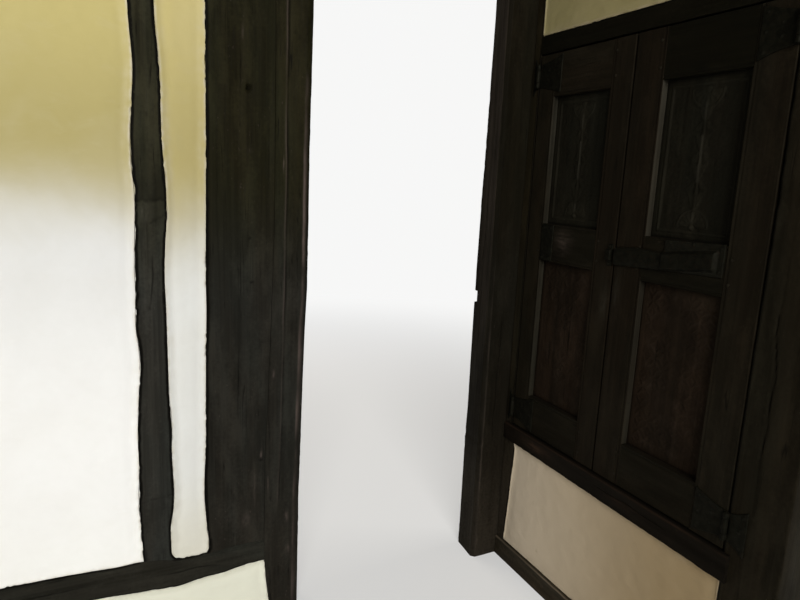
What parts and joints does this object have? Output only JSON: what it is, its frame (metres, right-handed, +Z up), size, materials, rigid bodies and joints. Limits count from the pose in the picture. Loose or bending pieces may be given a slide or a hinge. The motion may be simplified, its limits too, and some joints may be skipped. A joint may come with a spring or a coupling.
{
  "type": "timber framed room corner with doorway and wall cupboard",
  "caption": "Corner of a timber framed room: plastered stud wall with an open doorway, meeting a return wall that holds a panelled cupboard with hinged leaves.",
  "frame": {"origin": "inner corner of the two walls at the floor, on the foot of the corner post", "axes": "+X along the door wall towards the corner, +Y out through the doorway, +Z up"},
  "size_m": [2.436, 1.247, 2.44],
  "materials": {
    "timber": "old dark oak, dry and worn, low sheen",
    "black_oak": "near black waxed oak",
    "brown_oak": "dark reddish brown waxed oak",
    "board": "plain old boards, matte",
    "plaster": "limewashed daub, matte, uneven",
    "iron": "hand forged iron, black, low sheen"
  },
  "bodies": {
    "wall": {"end_post_left": "timber", "sill_beam": "timber", "plinth": "plaster", "wavy_stud": "timber", "wide_stud": "timber", "plaster_wide_panel": "plaster", "plaster_narrow_panel": "plaster", "door_post_left": "timber", "door_head": "timber", "door_post_right": "timber", "corner_post": "timber", "top_plate_front": "timber", "top_plate_side": "timber", "end_post_right": "timber", "plaster_over_cupboard": "plaster", "cupboard_header": "timber", "cupboard_sill": "brown_oak", "plaster_under_cupboard": "plaster", "skirting_board": "brown_oak", "cupboard_back": "board", "cupboard_top": "board", "cupboard_base": "board", "cupboard_side_near": "board", "cupboard_side_far": "board", "near_post_hinges": "iron", "far_post_hinges": "iron"},
    "near_leaf": {"near_leaf_stiles": "black_oak", "near_leaf_rails": "black_oak", "near_leaf_upper_panel": "black_oak", "near_leaf_lower_panel": "brown_oak", "near_leaf_hinges": "iron", "near_rail_plate": "iron", "bolt_keeper": "iron"},
    "far_leaf": {"far_leaf_stiles": "black_oak", "far_leaf_rails": "black_oak", "far_leaf_upper_panel": "black_oak", "far_leaf_lower_panel": "brown_oak", "far_leaf_hinges": "iron", "bolt_plate": "iron", "bolt_bar": "iron"}
  },
  "joints": [
    {"name": "near_leaf_hinge", "type": "hinge", "parent": "wall", "child": "near_leaf", "pos_m": [-0.0075, -0.0375, 1.2635], "axis": [0, 0, -1], "range_deg": [0, 90]},
    {"name": "far_leaf_hinge", "type": "hinge", "parent": "wall", "child": "far_leaf", "pos_m": [-0.0075, -0.9665, 1.2635], "axis": [0, 0, 1], "range_deg": [0, 110]}
  ]
}
